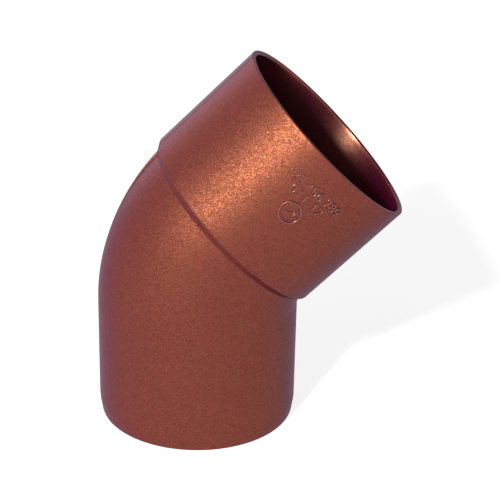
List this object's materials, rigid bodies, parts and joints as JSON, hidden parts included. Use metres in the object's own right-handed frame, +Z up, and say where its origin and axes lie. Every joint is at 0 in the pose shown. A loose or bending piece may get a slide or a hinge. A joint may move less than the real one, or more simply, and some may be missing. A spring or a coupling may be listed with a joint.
{
  "type": "downspout elbow",
  "caption": "One-piece moulded plastic elbow that turns a round downspout through half a right angle, with a plain spigot below and a wider socket above.",
  "frame": {"origin": "centre of the spigot's lower end, on the spigot's axis", "axes": "+Z up the spigot's axis; the bend turns towards +X; Y = 0 is the mirror plane"},
  "size_m": [0.1198, 0.0844, 0.1488],
  "materials": {
    "copper_plastic": "copper brown with fine metallic flake, satin"
  },
  "bodies": {
    "root": {"elbow": "copper_plastic"}
  },
  "joints": []
}
